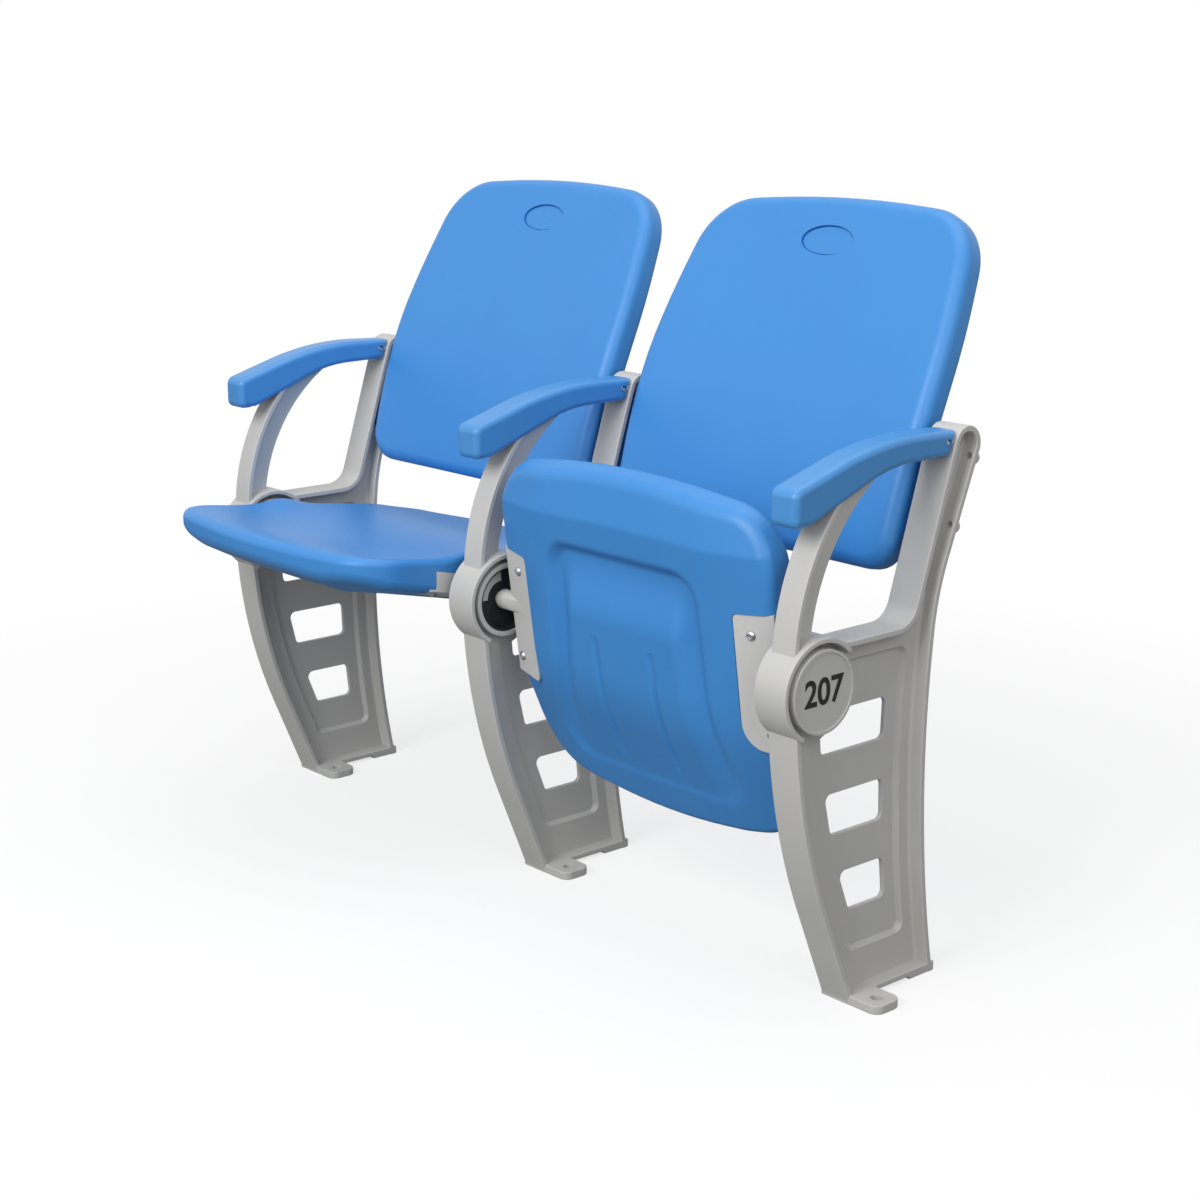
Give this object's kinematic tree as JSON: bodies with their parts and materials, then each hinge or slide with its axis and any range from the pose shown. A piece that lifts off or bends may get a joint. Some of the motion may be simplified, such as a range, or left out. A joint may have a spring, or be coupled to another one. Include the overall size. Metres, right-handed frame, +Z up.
{
  "type": "stadium seat",
  "caption": "Tip-up stadium seats in a row: moulded seat, back and arm rest shells on cast standards with open webs and round pivot hubs.",
  "frame": {"origin": "centre of the front pad under the middle standard's foot, on the floor", "axes": "+X along the row towards the numbered end, -Y the way the sitter faces, +Z up"},
  "size_m": [1.208, 0.5613, 0.8798],
  "materials": {
    "casting": "warm grey powder coat on cast aluminium",
    "shell": "blow-moulded and injection-moulded plastic with a fine satin grain, mid blue",
    "bracket": "grey coated pressed steel",
    "bolt": "zinc plated",
    "nylon": "black nylon"
  },
  "bodies": {
    "frame": {"standard_left": "casting", "arm_rest_left": "shell", "arm_screw_left": "bolt", "standard_middle": "casting", "arm_rest_middle": "shell", "arm_screw_middle": "bolt", "standard_right": "casting", "arm_rest_right": "shell", "arm_screw_right": "bolt", "back_left": "shell", "back_bolt_left_l1": "bolt", "back_bolt_left_l2": "bolt", "back_bolt_left_r1": "bolt", "back_bolt_left_r2": "bolt", "pivot_bush_left_l": "nylon", "pivot_bush_left_r": "nylon", "back_right": "shell", "back_bolt_right_l1": "bolt", "back_bolt_right_l2": "bolt", "back_bolt_right_r1": "bolt", "back_bolt_right_r2": "bolt", "pivot_bush_right_l": "nylon", "pivot_bush_right_r": "nylon", "blank_disc": "casting", "number_disc": "casting"},
    "seat_left": {"seat_left": "shell", "seat_bracket_left_l": "bracket", "bracket_bolt_left_l1": "bolt", "bracket_bolt_left_l2": "bolt", "bracket_bolt_left_l3": "bolt", "seat_bracket_left_r": "bracket", "bracket_bolt_left_r1": "bolt", "bracket_bolt_left_r2": "bolt", "bracket_bolt_left_r3": "bolt"},
    "seat_right": {"seat_right": "shell", "seat_bracket_right_l": "bracket", "bracket_bolt_right_l1": "bolt", "bracket_bolt_right_l2": "bolt", "bracket_bolt_right_l3": "bolt", "seat_bracket_right_r": "bracket", "bracket_bolt_right_r1": "bolt", "bracket_bolt_right_r2": "bolt", "bracket_bolt_right_r3": "bolt"}
  },
  "joints": [
    {"name": "tip_left", "type": "hinge", "parent": "frame", "child": "seat_left", "pos_m": [-0.27, -0.0805, 0.3825], "axis": [-1, 0, 0], "range_deg": [0, 69]},
    {"name": "tip_right", "type": "hinge", "parent": "frame", "child": "seat_right", "pos_m": [0.27, -0.0805, 0.3825], "axis": [-1, 0, 0], "range_deg": [-69, 0]}
  ]
}
